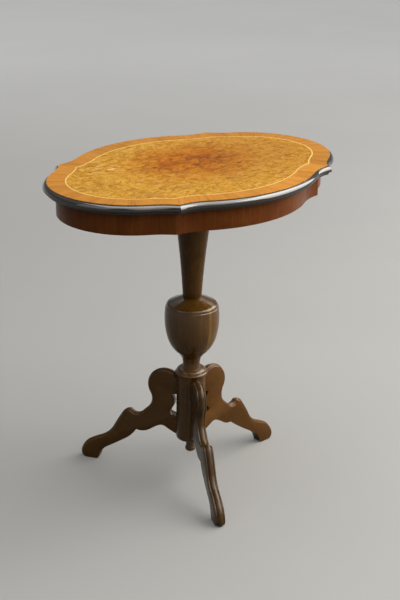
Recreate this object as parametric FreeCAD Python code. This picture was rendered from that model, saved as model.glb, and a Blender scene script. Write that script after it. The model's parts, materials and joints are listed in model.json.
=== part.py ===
import FreeCAD, Part
import math
import os

# A side table on a turned pedestal with three scroll-cut legs.
# Millimetres, +Z up, origin on the floor under the column's axis, X along the top's long axis.

# Overall sizes
table_height = 730.0
top_half_length = 348.0
top_half_width = 248.0

# Plan outline of the veneered top: two bracket sides, two bowed ends, four corners
corner_x_share = 0.618
corner_y_share = 0.762
side_hollow_radius = 120.0
end_bow_radius_share = 0.694
end_hollow_radius_share = 0.665

# Top board and veneers
board_thickness = 18.0
veneer_thickness = 1.0
banding_width = 37.5
string_width = 3.0
banding_lengths = 4
banding_overrun_turn = 15.0

# Edge moulding
moulding_blank_lap = 12.0
moulding_overhang = 8.0
moulding_step = 1.0
moulding_nose_depth = 11.5
moulding_nose_flat = 1.0
moulding_nose_ease = 1.2
moulding_cove_reach = 6.0
moulding_run_on = 12.0

# Apron under the top
apron_inset = 18.0
apron_depth = 49.0
apron_core_thickness = 18.0
block_size = 38.0
corner_block_height = 40.0
rub_block_length = 60.0
rub_block_room_share = 0.72
rub_block_thickness = 20.0
rub_block_height = 22.0
rub_block_gap = 5.0

# Bearer between the column and the top
bearer_width = 120.0
bearer_end_gap = 11.0
bearer_thickness = 25.0
bearer_end_thickness = 12.0
bearer_bevel = 60.0
screw_head_radius = 5.0
screw_head_height = 3.0
screw_shank_radius = 2.4
screw_bite = 12.0
screw_tip = 4.0
screw_edge_distance = 16.0
screw_place_share = 0.6

# Tapered shaft
shaft_top_radius = 50.0
shaft_foot_radius = 20.9
shaft_rim = 3.0
shaft_waist_height_share = 0.31
shaft_waist_radius_share = 0.196
shaft_tenon_radius = 17.0
shaft_foot_tenon_radius = 12.0
shaft_foot_tenon_length = 42.0
wedge_top_width = 4.0
wedge_foot_width = 1.5
wedge_depth = 20.0

# Urn, turned from a blank glued up of two halves
urn_radius = 61.4
urn_body_height = 122.0
urn_shoulder_height = 22.8
urn_roll_radius = 10.0
urn_edge_step = 1.2
urn_seam_azimuth = 219.0
urn_neck_joint_radius = 21.3
urn_body_shares = [(0.0, 0.0), (0.285, 0.118), (0.823, 0.405), (0.943, 1.0)]
urn_foot_heading = 60.5

# Hub, turned with its collar and neck
hub_radius = 33.0
hub_bottom_ease = 8.0
hub_below_legs = 8.0
hub_housing_depth = 3.5
collar_gap = 1.0
collar_ring_radius = 36.9
collar_ring_height = 7.0
collar_ring_inset = 2.4
collar_quirk = 0.8
collar_cushion_height = 7.5
collar_cushion_top_radius = 22.0
collar_cushion_bulge_share = 0.72
collar_fillet = 1.2
neck_radius = 19.1
neck_foot_radius = 20.3
neck_height = 23.5
neck_waist_share = 0.38
hub_tenon_radius = 11.0
hub_tenon_length = 44.0

# Turned drop under the hub
drop_length = 32.0
drop_neck_radius = 9.9
drop_button_radius = 12.0
drop_button_rim_radius = 10.7
drop_button_foot_radius = 8.2
drop_button_share = 0.32
drop_button_widest_share = 0.55
drop_spigot_radius = 6.0
drop_spigot_length = 25.0

# Scroll-cut legs
right_leg_azimuth = 0.0
left_leg_azimuth = 120.0
front_leg_azimuth = 241.308
leg_reach = 262.0
leg_rise = 246.0
leg_thickness = 21.0
dowel_radius = 4.5
dowel_length_in_leg = 18.0
dowel_length_in_hub = 19.0
lower_dowel_share = 0.462
upper_dowel_share = 0.86

# Leg outline, as shares of the way from the hub seat to the toe, and of the leg's rise.
# Each run is a string of arcs that follow on smoothly from its first heading in degrees.
lobe_scoop_shares = [(0.0, 0.935), (0.27, 0.774), (0.295, 0.595), (0.355, 0.54), (0.48, 0.532)]
lobe_heading = 55.3
knee_toe_shares = [(0.48, 0.532), (0.512, 0.544), (0.556, 0.51), (0.651, 0.357), (0.807, 0.221),
                   (0.911, 0.172), (0.999, 0.061), (0.948, 0.0)]
knee_heading = 65.4
heel_arch_shares = [(0.845, 0.0), (0.822, 0.026), (0.731, 0.146), (0.531, 0.264), (0.424, 0.37)]
heel_heading = 158.3
arch_hub_shares = [(0.424, 0.37), (0.275, 0.397), (0.189, 0.446), (0.12, 0.442), (0.0, 0.381)]
arch_heading = 194.7
keyhole_side_shares = [(0.067, 0.782), (0.059, 0.756), (0.084, 0.605)]
keyhole_side_heading = -87.8
keyhole_foot_shares = [(0.084, 0.605), (0.041, 0.569)]
keyhole_foot_heading = -98.0
keyhole_head_share = 0.79
keyhole_base_share = 0.566
root_joint_shares = [(0.0, 0.533), (0.215, 0.455)]

# Moulding worked along the upper edge of each leg: a round between two fillets
reed_crown = 5.0
reed_fillet_width = 3.6
reed_fillet_height = 1.2
reed_quirk = 1.0
reed_seat = 2.5

# Clearances and overruns
glue_line = 0.1
overrun = 5.0

# Heights and places worked out from the sizes above
underside_of_board = table_height - veneer_thickness - board_thickness
underside_of_bearer = underside_of_board - bearer_thickness
corner_x = corner_x_share * top_half_length
corner_y = corner_y_share * top_half_width
end_bow_radius = end_bow_radius_share * top_half_width
end_hollow_radius = end_hollow_radius_share * top_half_width
string_inset = banding_width + string_width
apron_core_inset = apron_inset + veneer_thickness
apron_inner_inset = apron_core_inset + apron_core_thickness
bearer_half_length = top_half_width - apron_inner_inset - bearer_end_gap
screw_place_x = bearer_width / 2 - screw_edge_distance
screw_place_y = screw_place_share * bearer_half_length
leg_seat = hub_radius - hub_housing_depth
leg_root_height = arch_hub_shares[-1][1] * leg_rise
hub_bottom = leg_root_height - hub_below_legs
collar_bottom = leg_rise + collar_gap
cushion_bottom = collar_bottom + collar_ring_height + collar_quirk
neck_bottom = cushion_bottom + collar_cushion_height + collar_fillet
urn_bottom = neck_bottom + neck_height
urn_edge = urn_bottom + urn_body_height
urn_top = urn_edge + urn_shoulder_height


def at(x, y, z=0):
    return FreeCAD.Vector(x, y, z)


def line(start, end):
    return Part.LineSegment(start, end).toShape()


def arc(start, middle, end):
    return Part.Arc(start, middle, end).toShape()


def profile_point(spot):
    """A spot of a turned profile, given by its radius and height, as a point."""
    radius, height = spot
    return at(radius, 0, height)


def profile_lines(*spots):
    points = [profile_point(spot) for spot in spots]
    return [line(start, end) for start, end in zip(points, points[1:])]


def profile_arc(start, middle, end):
    return arc(profile_point(start), profile_point(middle), profile_point(end))


def smooth_run(spots, heading):
    """Arcs through the spots, each going on smoothly from the last: start, end, centre and turn."""
    course = math.radians(heading)
    steps = []
    for start, end in zip(spots, spots[1:]):
        chord = end - start
        half_turn = math.remainder(math.atan2(chord.z, chord.x) - course, 2 * math.pi)
        radius = chord.Length / (2 * math.sin(half_turn))
        centre = start + at(-math.sin(course), 0, math.cos(course)) * radius
        steps.append((start, end, centre, 2 * half_turn))
        course += 2 * half_turn
    return steps


def run_edges(steps):
    edges = []
    for start, end, centre, turn in steps:
        spoke = start - centre
        swing = turn / 2
        middle = centre + at(spoke.x * math.cos(swing) - spoke.z * math.sin(swing), 0,
                             spoke.x * math.sin(swing) + spoke.z * math.cos(swing))
        edges.append(arc(start, middle, end))
    return edges


def arc_about(centre, start, end):
    radius = start.distanceToPoint(centre)
    halfway = (start + end) * 0.5 - centre
    halfway.normalize()
    return arc(start, centre + halfway * radius, end)


def face_of(edges):
    return Part.Face(Part.Wire(Part.__sortEdges__(edges)))


def turned(edges):
    whole = face_of(edges).revolve(at(0, 0), at(0, 0, 1), 360)
    return whole if whole.Volume > 0 else whole.reversed()


def mirrored(shape, normal):
    return shape.mirror(at(0, 0), normal)


def cylinder(radius, foot, top):
    return Part.makeCylinder(radius, top - foot, at(0, 0, foot))


# Plan outline
# Each long side is a bow between two hollows, each end a rounder bow between two flatter hollows.
side_hollow_centre = at(corner_x, corner_y + side_hollow_radius)
side_hollow_rise = side_hollow_centre.y - top_half_width
side_bow_radius = (corner_x ** 2 + side_hollow_rise ** 2 - side_hollow_radius ** 2) / (
    2 * (side_hollow_radius - side_hollow_rise))
side_bow_centre = at(0, top_half_width - side_bow_radius)
end_bow_centre = at(top_half_length - end_bow_radius, 0)


def end_hollow_centre_point():
    corner = at(corner_x, corner_y) - end_bow_centre
    reach = end_bow_radius + end_hollow_radius
    squares = corner.Length ** 2 + reach ** 2 - end_hollow_radius ** 2
    turn = math.acos(squares / (2 * corner.Length * reach))
    azimuth = math.atan2(corner.y, corner.x) - turn
    return end_bow_centre + at(math.cos(azimuth), math.sin(azimuth)) * reach


end_hollow_centre = end_hollow_centre_point()


def corner_point(inset):
    """Where the side and end hollows of the outline meet, drawn in by an inset."""
    first = side_hollow_radius + inset
    second = end_hollow_radius + inset
    across = end_hollow_centre - side_hollow_centre
    spacing = across.Length
    along = (spacing ** 2 + first ** 2 - second ** 2) / (2 * spacing)
    off = math.sqrt(first ** 2 - along ** 2)
    across.normalize()
    return side_hollow_centre + across * along + at(across.y, -across.x) * off


def along_side(inset):
    """The three arcs of the back side, from its left corner to its right corner."""
    corner = corner_point(inset)
    toward = side_hollow_centre - side_bow_centre
    toward.normalize()
    join = side_bow_centre + toward * (side_bow_radius - inset)
    left_corner = at(-corner.x, corner.y)
    left_join = at(-join.x, join.y)
    left_centre = at(-side_hollow_centre.x, side_hollow_centre.y)
    return [arc_about(left_centre, left_corner, left_join),
            arc_about(side_bow_centre, left_join, join),
            arc_about(side_hollow_centre, join, corner)]


def along_end(inset):
    """The three arcs of the right-hand end, from its back corner to its front corner."""
    corner = corner_point(inset)
    toward = end_hollow_centre - end_bow_centre
    toward.normalize()
    join = end_bow_centre + toward * (end_bow_radius - inset)
    low_corner = at(corner.x, -corner.y)
    low_join = at(join.x, -join.y)
    low_centre = at(end_hollow_centre.x, -end_hollow_centre.y)
    return [arc_about(end_hollow_centre, corner, join),
            arc_about(end_bow_centre, join, low_join),
            arc_about(low_centre, low_join, low_corner)]


def plan_prism(inset, foot, height):
    """A slab of the whole outline, drawn in by an inset."""
    right = along_end(inset)
    back = along_side(inset)
    left = [mirrored(edge, at(1, 0)) for edge in right]
    front = [mirrored(edge, at(0, 1)) for edge in back]
    slab = face_of(right + back + left + front).extrude(at(0, 0, height))
    slab.translate(at(0, 0, foot))
    return slab


def band(along, outer, inner, foot, height):
    """A strip that follows one side or end, with mitred ends on the corner lines."""
    outside = along(outer)
    inside = along(inner)
    ends = [line(outside[0].Vertexes[0].Point, inside[0].Vertexes[0].Point),
            line(outside[-1].Vertexes[-1].Point, inside[-1].Vertexes[-1].Point)]
    strip = face_of(outside + inside + ends).extrude(at(0, 0, height))
    strip.translate(at(0, 0, foot))
    return strip


def four_ways(side_piece, end_piece):
    """The same piece on the back and front sides and on the right and left ends."""
    return {"back": side_piece, "front": mirrored(side_piece, at(0, 1)),
            "right": end_piece, "left": mirrored(end_piece, at(1, 0))}


# Top board, veneers and stringing
def screw_centres():
    return [at(sign_x * screw_place_x, sign_y * screw_place_y)
            for sign_x in (-1, 1) for sign_y in (-1, 1)]


def screw(centre):
    """A slotted countersunk wood screw, driven up through the bearer into the board."""
    head = underside_of_bearer
    tip = underside_of_board + screw_bite
    shank = profile_lines((0, head), (screw_head_radius, head),
                          (screw_shank_radius, head + screw_head_height),
                          (screw_shank_radius, tip - screw_tip), (0, tip), (0, head))
    whole = turned(shank)
    whole.translate(centre)
    return whole


def top_board():
    board = plan_prism(moulding_blank_lap, underside_of_board, board_thickness)
    for centre in screw_centres():
        board = board.cut(screw(centre))
    return board


def banding_run(along, centre):
    """The cross-grained border of one side, cut into lengths that butt on radial joints."""
    foot = table_height - veneer_thickness
    run = band(along, 0, banding_width, foot, veneer_thickness)
    bow = along(0)[1]
    middle = bow.valueAt((bow.FirstParameter + bow.LastParameter) / 2) - centre
    facing = math.atan2(middle.y, middle.x)
    corner = corner_point(0) - centre
    reach = 2 * max(corner.Length, middle.Length)
    half_angle = abs(math.atan2(corner.y, corner.x) - facing)
    turns = [half_angle * (2 * index / banding_lengths - 1) for index in range(banding_lengths + 1)]
    turns[0] -= math.radians(banding_overrun_turn)
    turns[-1] += math.radians(banding_overrun_turn)
    pieces = []
    for low, high in zip(turns, turns[1:]):
        far = [centre + at(math.cos(facing + turn), math.sin(facing + turn)) * reach for turn in (low, high)]
        sector = face_of([line(centre, far[0]), line(far[0], far[1]), line(far[1], centre)])
        sector = sector.extrude(at(0, 0, veneer_thickness))
        sector.translate(at(0, 0, foot))
        pieces.append(run.common(sector).Solids[0])
    return pieces


# Edge moulding, worked on a blank that laps under the banding
def moulding_section(place, outward):
    """The section's edges, set up at a point of the outline with its outward direction."""
    def spot(out, depth):
        return place + outward * out + at(0, 0, table_height - depth)

    step = veneer_thickness + moulding_step
    nose = moulding_nose_depth + moulding_nose_flat
    foot = veneer_thickness + board_thickness
    bend = math.sin(math.pi / 4)
    crown_out = moulding_step + (moulding_overhang - moulding_step) * bend
    crown_depth = moulding_nose_depth - (moulding_nose_depth - step) * bend
    eased = moulding_overhang - moulding_nose_ease
    cove_out = moulding_overhang - moulding_cove_reach
    lip = nose + moulding_nose_ease
    cove_mid_out = eased - (eased - cove_out) * bend
    cove_mid_depth = foot - (foot - lip) * bend
    corners = [spot(-moulding_blank_lap, veneer_thickness), spot(0, veneer_thickness),
               spot(0, step), spot(moulding_step, step)]
    edges = [line(corners[i], corners[i + 1]) for i in range(len(corners) - 1)]
    edges.append(arc(spot(moulding_step, step), spot(crown_out, crown_depth),
                     spot(moulding_overhang, moulding_nose_depth)))
    edges.append(line(spot(moulding_overhang, moulding_nose_depth), spot(moulding_overhang, nose)))
    edges.append(line(spot(moulding_overhang, nose), spot(eased, lip)))
    edges.append(arc(spot(eased, lip), spot(cove_mid_out, cove_mid_depth), spot(cove_out, foot)))
    edges.append(line(spot(cove_out, foot), spot(-moulding_blank_lap, foot)))
    edges.append(line(spot(-moulding_blank_lap, foot), spot(-moulding_blank_lap, veneer_thickness)))
    return edges


def swept_moulding(centre, start, end, hollow, extra):
    """The section turned about the centre of one arc of the outline, run on past its end."""
    outward = start - centre
    outward.normalize()
    begin = math.atan2(start.y - centre.y, start.x - centre.x)
    finish = math.atan2(end.y - centre.y, end.x - centre.x)
    sweep = (finish - begin + math.pi) % (2 * math.pi) - math.pi
    sweep += math.copysign(extra, sweep)
    outward = outward * (-1 if hollow else 1)
    section = face_of(moulding_section(start, outward))
    return section.revolve(at(centre.x, centre.y), at(0, 0, 1), math.degrees(sweep))


def mitre_wedge(outward):
    """The ground that belongs to one side, bounded by the corner lines, as a tall slab."""
    reach = top_half_length
    inner = corner_point(moulding_blank_lap)
    outer = corner_point(-moulding_overhang)
    away = outer - inner
    away.normalize()
    low = inner - away * block_size
    high = outer + away * (moulding_overhang + moulding_blank_lap)
    if outward.y:
        points = [low, high, high + at(0, reach), at(-high.x, high.y + reach), at(-high.x, high.y),
                  at(-low.x, low.y)]
    else:
        points = [low, high, high + at(reach, 0), at(high.x + reach, -high.y), at(high.x, -high.y),
                  at(low.x, -low.y)]
    edges = [line(points[i - 1], points[i]) for i in range(len(points))]
    return face_of(edges).extrude(at(0, 0, table_height))


def edge_moulding(along, bow_centre, hollow_centre, outward, flip):
    """One length of moulding: a bow and its two hollows, mitred at both ends."""
    arcs = along(0)
    run_on = math.radians(moulding_run_on)
    bow_start = arcs[1].Vertexes[0].Point
    bow_end = arcs[1].Vertexes[-1].Point
    bow = swept_moulding(bow_centre, bow_start, bow_end, False, 0)
    join = bow_end if (bow_end - hollow_centre).Length < (bow_start - hollow_centre).Length else bow_start
    hollow = swept_moulding(hollow_centre, join, corner_point(0), True, run_on)
    whole = bow.fuse([hollow, mirrored(hollow, flip)])
    return whole.common(mitre_wedge(outward)).Solids[0]


# Apron with its blocks
def apron_pieces():
    pieces = {}
    foot = underside_of_board - apron_depth
    layers = {"apron_veneer": (apron_inset, apron_core_inset),
              "apron_core": (apron_core_inset, apron_inner_inset)}
    for name, (outer, inner) in layers.items():
        sides = four_ways(band(along_side, outer, inner, foot, apron_depth),
                          band(along_end, outer, inner, foot, apron_depth))
        for side, shape in sides.items():
            pieces[name + "_" + side] = shape
    return pieces


def block_against_apron(place, azimuth, length, thickness, height):
    """A glue block fitted to the apron's inner face around a place on it."""
    block = Part.makeBox(2 * thickness, length, height, at(-thickness, -length / 2))
    block.rotate(at(0, 0), at(0, 0, 1), math.degrees(azimuth))
    block.translate(place + at(0, 0, underside_of_board - height))
    room = plan_prism(apron_inner_inset, underside_of_board - height, height)
    return block.common(room).Solids[0]


def blocks():
    pieces = {}
    corner = corner_point(apron_inner_inset)
    away = corner_point(0) - corner
    azimuth = math.atan2(away.y, away.x)
    block = block_against_apron(corner, azimuth, 2 * block_size, block_size / 2, corner_block_height)
    across = mirrored(block, at(1, 0))
    pieces["corner_block_back_right"] = block
    pieces["corner_block_back_left"] = across
    pieces["corner_block_front_right"] = mirrored(block, at(0, 1))
    pieces["corner_block_front_left"] = mirrored(across, at(0, 1))
    bow = side_bow_radius - apron_inner_inset
    room_start = bearer_width / 2 + rub_block_gap
    room_end = corner.x - math.hypot(block_size, block_size / 2) - rub_block_gap
    turn = math.asin((room_start + room_end) / (2 * bow))
    place = side_bow_centre + at(math.sin(turn), math.cos(turn)) * bow
    rub = block_against_apron(place, math.pi / 2 - turn, rub_block_room_share * (room_end - room_start),
                              rub_block_thickness, rub_block_height)
    across = mirrored(rub, at(1, 0))
    pieces["rub_block_back_right"] = rub
    pieces["rub_block_back_left"] = across
    pieces["rub_block_front_right"] = mirrored(rub, at(0, 1))
    pieces["rub_block_front_left"] = mirrored(across, at(0, 1))
    end = block_against_apron(at(top_half_length - apron_inner_inset, 0), 0, rub_block_length,
                              rub_block_thickness, rub_block_height)
    pieces["rub_block_right"] = end
    pieces["rub_block_left"] = mirrored(end, at(1, 0))
    return pieces


# Bearer that joins the column to the top
def bearer():
    half = bearer_half_length
    knee = half - bearer_bevel
    tapered = underside_of_board - bearer_end_thickness
    outline = [(-half, underside_of_board), (half, underside_of_board), (half, tapered),
               (knee, underside_of_bearer), (-knee, underside_of_bearer), (-half, tapered)]
    points = [at(-bearer_width / 2, y, z) for y, z in outline]
    edges = [line(points[i - 1], points[i]) for i in range(len(points))]
    batten = face_of(edges).extrude(at(bearer_width, 0))
    mortise = cylinder(shaft_tenon_radius + glue_line, underside_of_bearer - overrun,
                       underside_of_board + overrun)
    batten = batten.cut(mortise)
    for centre in screw_centres():
        batten = batten.cut(screw(centre))
    return batten


def wedge():
    """The slip of hardwood that spreads the shaft's tenon in the bearer."""
    top = underside_of_board
    foot = top - wedge_depth
    outline = [(-wedge_top_width / 2, top), (wedge_top_width / 2, top),
               (wedge_foot_width / 2, foot), (-wedge_foot_width / 2, foot)]
    points = [at(x, -shaft_tenon_radius, z) for x, z in outline]
    edges = [line(points[i - 1], points[i]) for i in range(len(points))]
    slip = face_of(edges).extrude(at(0, 2 * shaft_tenon_radius))
    return slip.common(cylinder(shaft_tenon_radius, foot, top))


# Column
def shaft():
    """The trumpet-shaped shaft, with a tenon into the bearer and one into the urn."""
    flare_top = underside_of_bearer - shaft_rim
    waist_height = urn_top + shaft_waist_height_share * (flare_top - urn_top)
    waist = shaft_foot_radius + shaft_waist_radius_share * (shaft_top_radius - shaft_foot_radius)
    low = urn_top - shaft_foot_tenon_length
    edges = profile_lines((0, low), (shaft_foot_tenon_radius, low), (shaft_foot_tenon_radius, urn_top),
                          (shaft_foot_radius, urn_top))
    edges.append(profile_arc((shaft_foot_radius, urn_top), (waist, waist_height),
                             (shaft_top_radius, flare_top)))
    edges += profile_lines((shaft_top_radius, flare_top), (shaft_top_radius, underside_of_bearer),
                           (shaft_tenon_radius, underside_of_bearer),
                           (shaft_tenon_radius, underside_of_board), (0, underside_of_board), (0, low))
    return turned(edges).cut(wedge())


def urn_spot(shares):
    radius_share, height_share = shares
    radius = urn_neck_joint_radius + radius_share * (urn_radius - urn_neck_joint_radius)
    return at(radius, 0, urn_bottom + height_share * urn_body_height)


def urn():
    """The urn with its crisp upper edge, a rolled rim and a cone that rises to the shaft."""
    body = [urn_spot(shares) for shares in urn_body_shares]
    edge = body[-1]
    roll_foot = edge + at(-urn_edge_step, 0, urn_edge_step)
    roll_centre = roll_foot - at(urn_roll_radius, 0)
    rise = at(shaft_foot_radius, 0, urn_top) - roll_centre
    roll_turn = math.atan2(rise.z, rise.x) - math.acos(urn_roll_radius / rise.Length)
    roll_middle, roll_end = [roll_centre + at(math.cos(turn), 0, math.sin(turn)) * urn_roll_radius
                             for turn in (roll_turn / 2, roll_turn)]
    top_socket = shaft_foot_tenon_radius + glue_line
    top_socket_foot = urn_top - shaft_foot_tenon_length - overrun / 2
    foot_socket = hub_tenon_radius + glue_line
    foot_socket_head = urn_bottom + hub_tenon_length + overrun / 2
    edges = run_edges(smooth_run(body, urn_foot_heading))
    edges += [line(edge, roll_foot), arc(roll_foot, roll_middle, roll_end)]
    edges += profile_lines((roll_end.x, roll_end.z), (shaft_foot_radius, urn_top), (top_socket, urn_top),
                           (top_socket, top_socket_foot), (0, top_socket_foot), (0, foot_socket_head),
                           (foot_socket, foot_socket_head), (foot_socket, urn_bottom),
                           (urn_neck_joint_radius, urn_bottom))
    return turned(edges)


def urn_halves():
    whole = urn()
    reach = urn_radius + overrun
    block = Part.makeBox(2 * reach, reach, urn_top - urn_bottom + 2 * overrun,
                         at(-reach, 0, urn_bottom - overrun))
    block.rotate(at(0, 0), at(0, 0, 1), urn_seam_azimuth)
    return {"urn_right_half": whole.common(block).Solids[0], "urn_left_half": whole.cut(block).Solids[0]}


def hub_blank():
    """The hub as it leaves the lathe, with its collar, neck and tenon."""
    ease_top = hub_bottom + hub_bottom_ease
    ease_radius = hub_radius - hub_bottom_ease
    ring_inner = collar_ring_radius - collar_ring_inset
    ring_head = collar_bottom + collar_ring_height
    ring_middle = collar_bottom + collar_ring_height / 2
    cushion_head = cushion_bottom + collar_cushion_height
    cushion_radius = ring_inner - collar_quirk
    drawn_in = (1 - collar_cushion_bulge_share) * (cushion_radius - collar_cushion_top_radius)
    bulge = (cushion_radius - drawn_in, cushion_bottom + collar_cushion_bulge_share * collar_cushion_height)
    waist = (neck_radius, neck_bottom + neck_waist_share * neck_height)
    tenon_head = urn_bottom + hub_tenon_length
    spigot_socket = drop_spigot_radius + glue_line
    socket_head = hub_bottom + drop_spigot_length + overrun / 2
    edges = profile_lines((spigot_socket, hub_bottom), (ease_radius, hub_bottom))
    edges.append(arc_about(at(ease_radius, 0, ease_top), at(ease_radius, 0, hub_bottom),
                           at(hub_radius, 0, ease_top)))
    edges += profile_lines((hub_radius, ease_top), (hub_radius, collar_bottom), (ring_inner, collar_bottom))
    edges.append(profile_arc((ring_inner, collar_bottom), (collar_ring_radius, ring_middle),
                             (ring_inner, ring_head)))
    edges += profile_lines((ring_inner, ring_head), (cushion_radius, cushion_bottom))
    edges.append(profile_arc((cushion_radius, cushion_bottom), bulge,
                             (collar_cushion_top_radius, cushion_head)))
    edges += profile_lines((collar_cushion_top_radius, cushion_head),
                           (collar_cushion_top_radius, neck_bottom),
                           (neck_foot_radius, neck_bottom))
    edges.append(profile_arc((neck_foot_radius, neck_bottom), waist, (urn_neck_joint_radius, urn_bottom)))
    edges += profile_lines((urn_neck_joint_radius, urn_bottom), (hub_tenon_radius, urn_bottom),
                           (hub_tenon_radius, tenon_head), (0, tenon_head), (0, socket_head),
                           (spigot_socket, socket_head), (spigot_socket, hub_bottom))
    return turned(edges)


def drop():
    """The turned button on its neck, pegged up into the hub."""
    foot = hub_bottom - drop_length
    button_height = drop_length * drop_button_share
    button_head = foot + button_height
    widest = foot + button_height * drop_button_widest_share
    peg = hub_bottom + drop_spigot_length
    edges = profile_lines((0, peg), (drop_spigot_radius, peg), (drop_spigot_radius, hub_bottom),
                          (drop_neck_radius, hub_bottom), (drop_neck_radius, button_head),
                          (drop_button_rim_radius, button_head))
    edges.append(profile_arc((drop_button_rim_radius, button_head), (drop_button_radius, widest),
                             (drop_button_foot_radius, foot)))
    edges += profile_lines((drop_button_foot_radius, foot), (0, foot), (0, peg))
    return turned(edges)


# Legs, drawn standing along +X
def leg_spot(shares):
    reach_share, rise_share = shares
    return at(leg_seat + reach_share * (leg_reach - leg_seat), 0, rise_share * leg_rise)


def leg_run(shares, heading):
    return smooth_run([leg_spot(pair) for pair in shares], heading)


def leg_plate():
    """The plain board of a leg: lobe, scoop, knee, shin, foot, arch and half keyhole."""
    keyhole_base = leg_spot((0, keyhole_base_share))
    keyhole_head = leg_spot((0, keyhole_head_share))
    runs = (leg_run(lobe_scoop_shares, lobe_heading) + leg_run(knee_toe_shares, knee_heading)
            + leg_run(heel_arch_shares, heel_heading) + leg_run(arch_hub_shares, arch_heading)
            + leg_run(keyhole_side_shares, keyhole_side_heading)
            + leg_run(keyhole_foot_shares, keyhole_foot_heading))
    edges = run_edges(runs)
    edges += [line(leg_spot(knee_toe_shares[-1]), leg_spot(heel_arch_shares[0])),
              line(leg_spot(arch_hub_shares[-1]), keyhole_base),
              line(keyhole_base, leg_spot(keyhole_foot_shares[-1])),
              line(leg_spot(keyhole_side_shares[0]), keyhole_head),
              line(keyhole_head, leg_spot(lobe_scoop_shares[0]))]
    plate = face_of(edges)
    plate.translate(at(0, -leg_thickness / 2))
    return plate.extrude(at(0, leg_thickness))


def reed_section(place, outward):
    """Fillet, round and fillet across the leg's edge, standing on a seat sunk in the plate."""
    half = leg_thickness / 2
    inner = half - reed_fillet_width
    slope = half - reed_fillet_height
    springing = reed_fillet_height - reed_quirk
    outline = [(-inner, springing), (-inner, reed_fillet_height), (-slope, reed_fillet_height), (-half, 0),
               (-half, -reed_seat), (half, -reed_seat), (half, 0), (slope, reed_fillet_height),
               (inner, reed_fillet_height), (inner, springing)]
    spots = [place + outward * up + at(0, across) for across, up in outline]
    edges = [line(spots[i], spots[i + 1]) for i in range(len(spots) - 1)]
    edges.append(arc(spots[-1], place + outward * reed_crown, spots[0]))
    return face_of(edges)


def reeding():
    """The moulded edge, turned about the centre of each arc from the hub down to the toe."""
    lengths = []
    steps = leg_run(lobe_scoop_shares, lobe_heading) + leg_run(knee_toe_shares, knee_heading)
    for start, end, centre, turn in steps:
        outward = (start - centre) * (-1 if turn > 0 else 1)
        outward.normalize()
        section = reed_section(start, outward)
        lengths.append(section.revolve(centre, at(0, -1), math.degrees(turn)))
    whole = lengths[0].fuse(lengths[1:])
    return whole.cut(cylinder(hub_radius, 0, 2 * leg_rise))


def dowel(height_share):
    height = height_share * leg_rise
    return Part.makeCylinder(dowel_radius, dowel_length_in_hub + dowel_length_in_leg,
                             at(leg_seat - dowel_length_in_hub, 0, height), at(1, 0))


def leg():
    whole = leg_plate().fuse(reeding())
    below = Part.makeBox(2 * leg_reach, 2 * leg_thickness, leg_rise, at(0, -leg_thickness, -leg_rise))
    behind = Part.makeBox(leg_seat, 2 * leg_thickness, 2 * leg_rise, at(0, -leg_thickness))
    whole = whole.cut([below, behind])
    for share in (lower_dowel_share, upper_dowel_share):
        whole = whole.cut(dowel(share))
    return whole.removeSplitter()


def root_wedge():
    """The ground under the glue line of the left leg's blank."""
    hub_end, arch_end = [leg_spot(shares) for shares in root_joint_shares]
    slope = (arch_end - hub_end) * (1 / (arch_end - hub_end).Length)
    start = hub_end - slope * overrun
    end = arch_end + slope * hub_radius
    edges = [line(start, end), line(end, at(end.x, 0)), line(at(end.x, 0), at(start.x, 0)),
             line(at(start.x, 0), start)]
    ground = face_of(edges)
    ground.translate(at(0, -leg_thickness))
    cutter = ground.extrude(at(0, 2 * leg_thickness))
    limit = Part.makeBox(arch_end.x - leg_seat + hub_bottom_ease, 2 * leg_thickness, leg_rise,
                         at(leg_seat - overrun, -leg_thickness))
    return cutter.common(limit)


def stood(shape, azimuth):
    """A leg piece swung round to its azimuth."""
    placed = shape.copy()
    placed.rotate(at(0, 0), at(0, 0, 1), azimuth)
    return placed


def base_pieces():
    """Three legs, their dowels, and the hub housed to take them."""
    whole = leg()
    root = whole.common(root_wedge())
    upper = whole.cut(root_wedge())
    pieces = {"leg_right": stood(whole, right_leg_azimuth),
              "leg_front": stood(whole, front_leg_azimuth),
              "leg_left": stood(max(upper.Solids, key=lambda solid: solid.Volume), left_leg_azimuth),
              "leg_left_root": stood(root.Solids[0], left_leg_azimuth)}
    hub = hub_blank()
    dowels = []
    for azimuth in (right_leg_azimuth, left_leg_azimuth, front_leg_azimuth):
        hub = hub.cut(stood(leg_plate(), azimuth))
        for share in (lower_dowel_share, upper_dowel_share):
            dowels.append(stood(dowel(share), azimuth))
    hub = hub.cut(dowels)
    pieces["hub"] = hub.Solids[0]
    pieces["leg_dowels"] = Part.makeCompound(dowels)
    return pieces


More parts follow.
